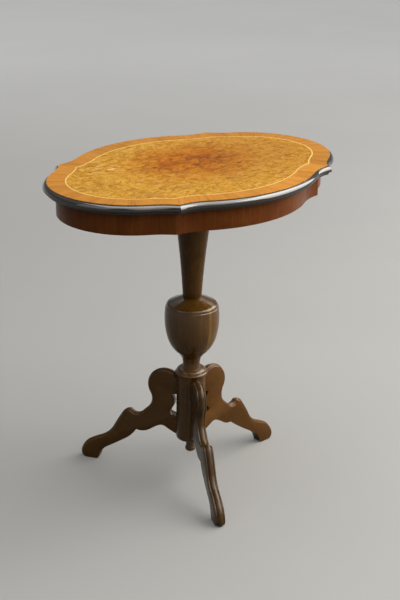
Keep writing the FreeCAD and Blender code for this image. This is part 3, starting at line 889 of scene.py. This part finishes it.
@dataclass
class SubAssembly:
    """A group of the table's pieces that are made and dressed together."""

    frame: dict
    effects: EffectGroups
    arris: float = 0.5 * MILLIMETRE
    arris_segments: int = 2
    weld_distance: float = 0.002 * MILLIMETRE
    flat_angle: float = math.radians(0.4)
    smooth_angle: float = math.radians(32.0)

    def soften(self, node: str, slot: str, material: Material,
               arris: float | None = None) -> None:
        """Replaces a node with a copy whose sharp arrises are eased as by long use.

        Args:
            node: The frame's node.
            slot: The record's material slot; not used.
            material: The finish.
            arris: The width of the easing, or None for the sub-assembly's usual width.
        """
        source = self.frame["nodes"][node]
        piece = bpy.data.objects.new(node + "_eased", source.data.copy())
        bpy.context.scene.collection.objects.link(piece)
        pick(piece)
        bpy.ops.object.mode_set(mode="EDIT")
        bpy.ops.mesh.select_all(action="SELECT")
        bpy.ops.mesh.remove_doubles(threshold=self.weld_distance)
        bpy.ops.mesh.dissolve_limited(angle_limit=self.flat_angle)
        bpy.ops.mesh.normals_make_consistent(inside=False)
        bpy.ops.object.mode_set(mode="OBJECT")
        apply_modifier(piece, "BEVEL", width=arris or self.arris, segments=self.arris_segments,
                       limit_method="ANGLE", angle_limit=self.smooth_angle)
        bpy.ops.object.shade_smooth_by_angle(angle=self.smooth_angle)
        settle(piece, material, node)

    def paint(self, node: str, material: Material) -> None:
        """Gives a node of the frame its finish, with its mesh as it is.

        Args:
            node: The frame's node.
            material: The finish.
        """
        for slot in self.frame["nodes"][node].material_slots:
            slot.material = material
        log.info("%s: painted", node)


@dataclass
class Top(SubAssembly):
    """The board, its burr field, the line inlay and the cross-banded border."""

    side_centre: float = -0.0532
    end_centre: float = 0.176
    lengths: int = 4
    length_shift: float = 0.37
    border: tuple[Colour, ...] = ((0.605, 0.278, 0.050), (0.51, 0.215, 0.029), (0.34, 0.12, 0.012))
    tone_spread: float = 0.05
    tone_steps: tuple[float, float] = (2.3, 5.0)

    def build(self) -> None:
        """Dresses every piece of the top."""
        self.paint("burr_field", BurrVeneer().build(self.effects))
        line = PolishedWood("pale_stringing", pale=(0.90, 0.62, 0.20), middle=(0.82, 0.53, 0.15),
                            dark=(0.64, 0.36, 0.08), worn=(0.8, 0.6, 0.3), gloss=0.36, coat=0.3,
                            coat_roughness=0.2, shine=0.2, arris_share=0.0, relief=0.00004)
        material = line.build(self.effects)
        for side in Side:
            self.paint("string_" + side.word, material)
        self._border()
        pine = RawWood("board_pine", pale=(0.62, 0.44, 0.25), middle=(0.52, 0.35, 0.18),
                       dark=(0.34, 0.20, 0.09), worn=(0.6, 0.45, 0.28), turn=(0.0, 90.0, 0.0))
        self.paint("top_board", pine.build(self.effects))

    def _border(self) -> None:
        """Dresses the border's lengths, each in a slightly different tone."""
        tones = {Side.BACK: 0.92, Side.FRONT: 1.04, Side.RIGHT: 0.88, Side.LEFT: 0.97}
        step, turn = self.tone_steps
        for side in Side:
            centre = Vector(side.value) * (self.side_centre if side.is_long else self.end_centre)
            for index in range(self.lengths):
                tone = tones[side] * (1.0 + self.tone_spread * math.sin(step * index + turn * side.value[0]))
                colours = (toned(colour, (tone,) * 3) for colour in self.border)
                name = f"banding_{side.word}_{index + 1}"
                finish = CrossBanding(name + "_walnut", *colours, centre=tuple(centre),
                                      shift=self.length_shift * index)
                self.paint(name, finish.build(self.effects))


@dataclass
class Edging(SubAssembly):
    """The four lengths of dark moulding around the top."""

    arris: float = 0.35 * MILLIMETRE

    def build(self) -> None:
        """Eases and dresses the moulding."""
        ebony = PolishedWood("ebonised_moulding", pale=(0.026, 0.016, 0.009), middle=(0.016, 0.010, 0.006),
                             dark=(0.008, 0.005, 0.003), worn=(0.12, 0.06, 0.025), gloss=0.2, wear=0.15,
                             coat=1.0, coat_roughness=0.11, coat_ior=2.2, shine=0.08, arris_radius=0.0012,
                             arris_share=0.3, relief=0.00004)
        material = ebony.build(self.effects)
        for side in Side:
            self.soften("edge_moulding_" + side.word, "edge_moulding", material)


@dataclass
class Apron(SubAssembly):
    """The veneered apron, its ground and its glue blocks."""

    arris: float = 0.4 * MILLIMETRE
    ground_arris: float = 0.6 * MILLIMETRE

    def build(self) -> None:
        """Eases and dresses the apron."""
        for index, side in enumerate(Side):
            veneer = PolishedWood(f"apron_{side.word}_walnut", pale=(0.30, 0.094, 0.016),
                                  middle=(0.19, 0.052, 0.009), dark=(0.11, 0.027, 0.005),
                                  worn=(0.42, 0.2, 0.08), ring_share=0.03, fibre_share=0.4, fibre_scale=300.0,
                                  wear=0.25, coat=0.04, coat_roughness=0.14, shine=0.08,
                                  shift=(0.31 * index, 0.17 * index, 0.0), arris_radius=0.0012,
                                  relief=0.00006)
            self.soften("apron_veneer_" + side.word, "apron_veneer", veneer.build(self.effects))
        raw = RawWood("apron_softwood", pale=(0.60, 0.43, 0.25), middle=(0.50, 0.34, 0.18),
                      dark=(0.32, 0.19, 0.09), worn=(0.6, 0.45, 0.28), gloss=0.75, turn=(90.0, 0.0, 0.0))
        material = raw.build(self.effects)
        for node in self.frame["nodes"]:
            if node.startswith(("apron_core", "corner_block", "rub_block")):
                self.soften(node, "carcase_wood", material, self.ground_arris)


@dataclass
class Column(SubAssembly):
    """Shaft, urn, hub and drop, all turned."""

    urn_arris: float = 0.25 * MILLIMETRE
    hub_arris: float = 0.4 * MILLIMETRE
    seam_azimuth: float = 219.0
    # Painted light on the urn: the 290° streak paints a lighter right side where the light falls, and the
    # bright 270° streak is a painted highlight. The 232° streak is darker and the 200° streak lighter.
    streaks: tuple[Streak, ...] = (
        Streak(290.0, 44.0, 0.6, (0.27, 0.13, 0.012)), Streak(270.0, 13.0, 0.6, (0.40, 0.21, 0.03)),
        Streak(232.0, 24.0, 0.35, (0.09, 0.035, 0.005)), Streak(200.0, 30.0, 0.3, (0.17, 0.09, 0.012)))
    chip: Nick = Nick((-0.0225, -0.0241, 0.1398), 0.0018, (0.36, 0.24, 0.12))

    def _walnut(self, name: str, **changes: Value) -> Material:
        """Builds the column's walnut, with what differs from piece to piece.

        Args:
            name: The material's name.
            **changes: Fields of the finish that differ.

        Returns:
            The material.
        """
        settings = {"pale": (0.18, 0.088, 0.013), "middle": (0.115, 0.050, 0.006),
                    "dark": (0.055, 0.022, 0.003), "worn": (0.33, 0.18, 0.055), "gloss": 0.28, "coat": 0.2,
                    "coat_roughness": 0.14, "lathe_share": 0.6, "arris_radius": 0.0015, "fibre_share": 0.6,
                    "shine": 0.12}
        return PolishedWood(name, **(settings | changes)).build(self.effects)

    def build(self) -> None:
        """Eases and dresses the column."""
        self.soften("shaft", "turned_wood", self._walnut("shaft_walnut", shift=(0.05, 0.02, 0.0)))
        for index, half in enumerate(("urn_left_half", "urn_right_half")):
            urn = self._walnut(half + "_walnut", shift=(0.08, 0.06 * (1 - 2 * index), 0.1 * index),
                               seam_azimuth=self.seam_azimuth, streaks=self.streaks, coat=1.0, coat_ior=1.65)
            self.soften(half, "turned_wood", urn, self.urn_arris)
        hub = self._walnut("hub_walnut", shift=(-0.04, 0.03, 0.0), coat=0.8, coat_ior=1.65,
                           nicks=(self.chip,))
        for node in ("hub", "drop_finial"):
            self.soften(node, "turned_wood", hub, self.hub_arris)


@dataclass
class Base(SubAssembly):
    """The three scroll-cut legs and the pieced root."""

    arris: float = 0.4 * MILLIMETRE
    pitch: float = 48.0
    wood: tuple[Colour, ...] = ((0.19, 0.082, 0.012), (0.13, 0.052, 0.006), (0.07, 0.025, 0.003))
    dents: tuple[Nick, ...] = (Nick((-0.0520, -0.0767, 0.1877), 0.0026, (0.02, 0.008, 0.003)),
                               Nick((-0.0461, -0.0832, 0.1850), 0.0030, (0.02, 0.008, 0.003)))

    def build(self) -> None:
        """Eases and dresses the legs."""
        # The front and left legs are toned greyer and bluer than the right one: painted reflection of the sky
        # on the same walnut.
        painted_reflection_looks = {Leg.RIGHT: ((1.0, 1.0, 1.0), 0.10), Leg.LEFT: ((0.88, 0.98, 1.2), 0.10),
                 Leg.FRONT: ((0.62, 0.78, 1.6), 0.12)}
        for leg, (tone, shine) in painted_reflection_looks.items():
            walnut = PolishedWood(f"leg_{leg.word}_walnut", *(toned(colour, tone) for colour in self.wood),
                                  worn=(0.34, 0.18, 0.06), wear=0.35, coat_roughness=0.18, fibre_share=0.3,
                                  ring_share=0.02, shine=shine, nicks=self.dents,
                                  turn=(0.0, self.pitch, -leg.value), shift=(0.0, 0.03, 0.0))
            self.soften("leg_" + leg.word, "leg_wood", walnut.build(self.effects))
        root = PolishedWood("leg_root_walnut", pale=(0.18, 0.078, 0.012), middle=(0.125, 0.050, 0.008),
                            dark=(0.07, 0.025, 0.004), worn=(0.32, 0.17, 0.06), gloss=0.34, wear=0.35,
                            coat=0.2, shine=0.16, turn=(0.0, 30.0, -Leg.LEFT.value), shift=(0.03, 0.07, 0.0))
        self.soften("leg_left_root", "leg_wood", root.build(self.effects))


@dataclass
class Fixings(SubAssembly):
    """Bearer, screws, wedge and dowels."""

    arris: float = 0.8 * MILLIMETRE
    screws: tuple[Point, ...] = (
        (0.044, 0.12, 20.0), (-0.044, 0.12, 75.0), (0.044, -0.12, -35.0), (-0.044, -0.12, 50.0))
    head_face: float = 0.686
    screw_length: float = 0.037
    screw_facets: int = 48
    screw_arris: float = 0.12 * MILLIMETRE
    head_radius: float = 0.00499
    head_height: float = 0.003
    shank_radius: float = 0.0024
    point_length: float = 0.004
    point_radius: float = 0.000096
    slot_width: float = 0.0013
    slot_depth: float = 0.0015
    level_slack: float = 0.1 * MILLIMETRE

    def build(self) -> None:
        """Dresses what holds the table together."""
        beech = RawWood("bearer_beech", pale=(0.55, 0.36, 0.2), middle=(0.46, 0.28, 0.14),
                        dark=(0.30, 0.16, 0.07), worn=(0.55, 0.4, 0.25), turn=(90.0, 0.0, 0.0))
        material = beech.build(self.effects)
        self.soften("bearer", "carcase_wood", material)
        for node in ("tenon_wedge", "leg_dowels"):
            self.paint(node, material)
        self._screws(DullMetal().build(self.effects))

    def _screws(self, steel: Material) -> None:
        """Makes the four slotted countersunk screws, each with its slot turned its own way.

        Args:
            steel: The screws' finish.
        """
        made = [self._screw(x, y, turn) for x, y, turn in self.screws]
        deselect()
        for piece in made:
            piece.select_set(True)
        bpy.context.view_layer.objects.active = made[0]
        bpy.ops.object.join()
        piece = bpy.context.object
        piece.name = "slotted_screws"
        bpy.ops.object.shade_smooth_by_angle(angle=self.smooth_angle)
        settle(piece, steel, "bearer_screws")

    def _screw(self, x: float, y: float, turn: float) -> Object:
        """Makes one screw: head, shank, point and slot.

        Args:
            x: Its place along X.
            y: Its place along Y.
            turn: The slot's azimuth in degrees.

        Returns:
            The screw.
        """
        deselect()
        bpy.ops.mesh.primitive_cylinder_add(vertices=self.screw_facets, radius=self.head_radius,
                                            depth=self.screw_length)
        piece = bpy.context.object
        bpy.ops.object.mode_set(mode="EDIT")
        bpy.ops.mesh.select_all(action="SELECT")
        bpy.ops.transform.translate(value=(x, y, self.head_face + 0.5 * self.screw_length))
        bpy.ops.object.mode_set(mode="OBJECT")
        self._draw_in(piece, x, y)
        deselect()
        face = (x, y, self.head_face)
        bpy.ops.mesh.primitive_cube_add(size=1.0, location=face)
        cutter = bpy.context.object
        bpy.ops.transform.resize(value=(3.0 * self.head_radius, self.slot_width, 2.0 * self.slot_depth))
        bpy.ops.transform.rotate(value=math.radians(turn), orient_axis="Z", center_override=face)
        apply_modifier(piece, "BOOLEAN", operation="DIFFERENCE", object=cutter, solver="EXACT")
        pick(cutter)
        bpy.ops.object.delete()
        apply_modifier(piece, "BEVEL", width=self.screw_arris, segments=self.arris_segments,
                       limit_method="ANGLE", angle_limit=self.smooth_angle)
        return piece

    def _draw_in(self, piece: Object, x: float, y: float) -> None:
        """Narrows a cylinder from the head to the shank, and the shank to a point.

        Args:
            piece: The cylinder.
            x: The screw's place along X.
            y: The screw's place along Y.
        """
        sections = ((self.head_height, self.shank_radius),
                    (self.screw_length - self.point_length, self.shank_radius),
                    (self.screw_length, self.point_radius))
        pick(piece)
        bpy.ops.object.mode_set(mode="EDIT")
        for height, _ in sections[:-1]:
            bpy.ops.mesh.select_all(action="SELECT")
            bpy.ops.mesh.bisect(plane_co=(x, y, self.head_face + height), plane_no=(0.0, 0.0, 1.0))
        bpy.ops.object.mode_set(mode="OBJECT")
        for vertex in piece.data.vertices:
            height = vertex.co.z - self.head_face
            for level, radius in sections:
                if abs(height - level) < self.level_slack:
                    share = radius / self.head_radius
                    vertex.co.x = x + share * (vertex.co.x - x)
                    vertex.co.y = y + share * (vertex.co.y - y)


@dataclass(frozen=True)
class Panel:
    """A soft lamp: its azimuth and elevation in degrees, width, height, power and colour."""

    name: str
    azimuth: float
    elevation: float
    width: float
    height: float
    power: float
    colour: Colour


@dataclass
class Studio:
    """A plain pale floor, and soft light that is strong from the right and weak from the left."""

    floor_half: float = 30.0
    floor_drop: float = 0.0004
    floor_colour: Colour = (0.34, 0.34, 0.333)
    floor_cloud: Colour = (0.3128, 0.3128, 0.30636)
    floor_bounce: Colour = (0.08, 0.08, 0.075)
    floor_glow: tuple[float, float] = (0.08, 0.38)
    glow_reach: tuple[float, float] = (0.9, 5.5)
    floor_roughness: tuple[float, float] = (0.85, 0.95)
    floor_relief: float = 0.0005
    cloud_scale: float = 1.3
    cloud_span: tuple[float, float] = (0.3, 0.7)
    cloud_share: float = 0.25
    light_strength: float = 0.5
    light_span: tuple[float, float] = (-0.5, 1.0)
    light_stops: tuple[float, ...] = (0.0, 0.5, 1.0)
    light_colours: tuple[Colour, ...] = ((0.05, 0.055, 0.065), (0.14, 0.145, 0.16), (0.9, 0.9, 0.92))
    backdrop_span: tuple[float, float] = (-0.2, 0.6)
    backdrop_rises: tuple[float, ...] = (0.03, 0.20, 0.40, 0.60)
    backdrop_left: tuple[float, ...] = (0.46, 0.15, 0.15, 0.22)
    backdrop_right: tuple[float, ...] = (0.46, 0.15, 0.15, 1.30)
    backdrop_tint: Colour = (1.0, 1.0, 0.985)
    lamp_distance: float = 3.2
    lamp_aim: Point = (0.0, 0.0, 0.45)
    bright_azimuth: float = math.radians(-25.0)
    panels: tuple[Panel, ...] = (
        Panel("key", -30.0, 36.0, 4.0, 3.0, 138.0, (1.0, 0.95, 0.88)),
        Panel("left", 178.0, 36.0, 2.2, 2.2, 9.0, (0.97, 0.97, 1.0)),
        Panel("front", 262.0, 40.0, 3.4, 2.6, 24.0, (1.0, 0.94, 0.84)),
        Panel("top", -40.0, 86.0, 3.4, 3.4, 62.0, (1.0, 0.99, 0.97)))

    def build(self) -> None:
        """Makes the floor, the world and the lamps."""
        self._floor()
        self._world()
        for panel in self.panels:
            self._lamp(panel)

    def _floor(self) -> None:
        """Makes the floor, a wide sheet that is pale to the eye and sends little light back up."""
        deselect()
        bpy.ops.mesh.primitive_plane_add(size=2 * self.floor_half, location=(0.0, 0.0, -self.floor_drop))
        floor = bpy.context.object
        floor.name = "studio_floor"
        graph = MaterialGraph("pale_floor")
        cloud = graph.noise(graph.place, scale=self.cloud_scale, detail=3.0)
        share = graph.span(cloud, *self.cloud_span, 0.0, self.cloud_share)
        pale = graph.mix(share, self.floor_colour, self.floor_cloud)
        seen = graph.seen_directly()
        near, far = (glow / self.floor_colour[0] for glow in self.floor_glow)
        glow = graph.span(graph.vector("LENGTH", graph.place), *self.glow_reach, near, far)
        others = {"Emission Color": pale, "Emission Strength": graph.maths("MULTIPLY", seen, glow)}
        roughness = graph.span(cloud, *self.cloud_span, *self.floor_roughness)
        material = graph.close(graph.mix(seen, self.floor_bounce, pale), roughness, cloud,
                               self.floor_relief, others)
        floor.data.materials.append(material)

    def _world(self) -> None:
        """Makes the world: light that is brighter from the right, and a backdrop that lights nothing.

        The backdrop is pale at the horizon, dim above it, and bright again high up on the right.
        """
        world = bpy.data.worlds.new("studio_world")
        bpy.context.scene.world = world
        world.use_nodes = True
        world.node_tree.nodes.clear()
        graph = Graph(world.node_tree)
        direction = graph.add("TexCoord").outputs["Generated"]
        bright = (math.cos(self.bright_azimuth), math.sin(self.bright_azimuth), 0.0)
        lit = graph.vector("DOT_PRODUCT", direction, bright)
        colour = graph.ramp(graph.span(lit, *self.light_span), self.light_stops, self.light_colours)
        light = graph.add("Background", {"Color": colour, "Strength": self.light_strength}).outputs[0]
        height = graph.add("SeparateXYZ", {0: direction}).outputs["Z"]
        left, right = (graph.ramp(height, self.backdrop_rises,
                                  tuple(toned((grey,) * 3, self.backdrop_tint) for grey in greys))
                       for greys in (self.backdrop_left, self.backdrop_right))
        backdrop = graph.mix(graph.span(lit, *self.backdrop_span), left, right)
        seen = graph.add("Background", {"Color": backdrop}).outputs[0]
        both = graph.add("MixShader", {0: graph.seen_directly(), 1: light, 2: seen}).outputs[0]
        graph.add("OutputWorld", {"Surface": both})

    def _lamp(self, panel: Panel) -> None:
        """Adds one soft lamp that points at the table.

        Args:
            panel: The lamp's place, size, power and colour.
        """
        azimuth, elevation = math.radians(panel.azimuth), math.radians(panel.elevation)
        way = Vector((math.cos(elevation) * math.cos(azimuth), math.cos(elevation) * math.sin(azimuth),
                      math.sin(elevation)))
        deselect()
        bpy.ops.object.light_add(type="AREA", location=Vector(self.lamp_aim) + way * self.lamp_distance)
        lamp = bpy.context.object
        lamp.name = panel.name + "_lamp"
        lamp.data.shape = "RECTANGLE"
        lamp.data.size = panel.width
        lamp.data.size_y = panel.height
        lamp.data.energy = panel.power
        lamp.data.color = panel.colour
        lamp.rotation_euler = way.to_track_quat("Z", "Y").to_euler()


@dataclass
class Viewpoint:
    """The camera at the photograph's angle."""

    place: Point = (-1.9236, -2.0270, 1.5033)
    aim: Point = (0.0125, -0.0120, 0.4232)
    roll: float = math.radians(0.857)
    lens: float = 81.5
    sensor: float = 36.0

    def build(self) -> None:
        """Makes the camera and gives it to the scene."""
        deselect()
        bpy.ops.object.camera_add(location=self.place)
        camera = bpy.context.object
        camera.name = "view_camera"
        camera.data.lens = self.lens
        camera.data.sensor_fit = "VERTICAL"
        camera.data.sensor_height = camera.data.sensor_width = self.sensor
        turn = (Vector(self.aim) - Vector(self.place)).to_track_quat("-Z", "Y").to_matrix().to_4x4()
        camera.matrix_world = Matrix.Translation(self.place) @ turn @ Matrix.Rotation(self.roll, 4, "Z")
        bpy.context.scene.camera = camera


def main() -> None:
    """Loads the frame, dresses the table and sets up the studio."""
    logging.basicConfig(level=logging.INFO, format="%(name)s %(message)s")
    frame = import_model()
    effects = EffectGroups()
    for part in (Top, Edging, Apron, Column, Base, Fixings):
        part(frame, effects).build()
    Studio().build()
    Viewpoint().build()
    bpy.context.scene.view_settings.view_transform = "Standard"
    deselect()


if __name__ == "__main__":
    main()
